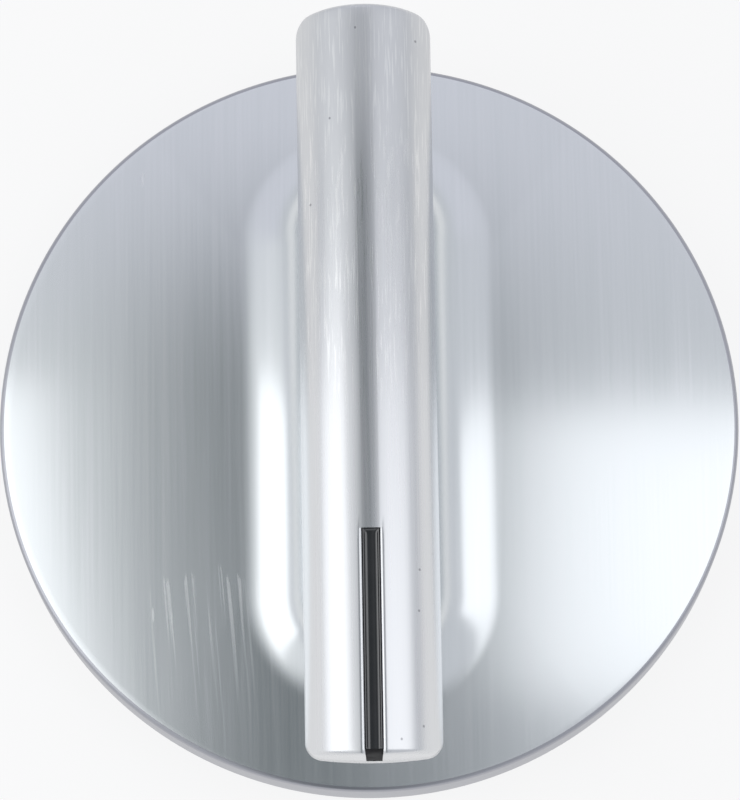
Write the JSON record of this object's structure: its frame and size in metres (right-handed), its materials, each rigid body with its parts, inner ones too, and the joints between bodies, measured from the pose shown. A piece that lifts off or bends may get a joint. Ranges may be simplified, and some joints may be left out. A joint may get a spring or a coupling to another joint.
{
  "type": "stove knob",
  "caption": "Round domed stove knob with a half-round bar grip on a flared pedestal, a black indicator line and a D socket for the valve stem.",
  "frame": {"origin": "centre of the back rim, in the plane that the knob lies on", "axes": "+Z along the valve stem's axis out of the face, +Y along the bar away from its indicator end"},
  "size_m": [0.06, 0.06, 0.0247],
  "materials": {
    "dial_metal": "fine straight brushing, satin plated zinc",
    "bar_metal": "satin, lightly worn",
    "indicator_black": "gloss black",
    "hub_plastic": "moulded, fine texture",
    "spring_steel": "blank spring steel",
    "screw_steel": "zinc plated"
  },
  "bodies": {
    "root": {"dial_body": "dial_metal", "grip_bar": "bar_metal", "indicator_strip": "indicator_black", "stem_hub": "hub_plastic", "spring_clip": "spring_steel", "clamp_screws": "screw_steel"}
  },
  "joints": []
}
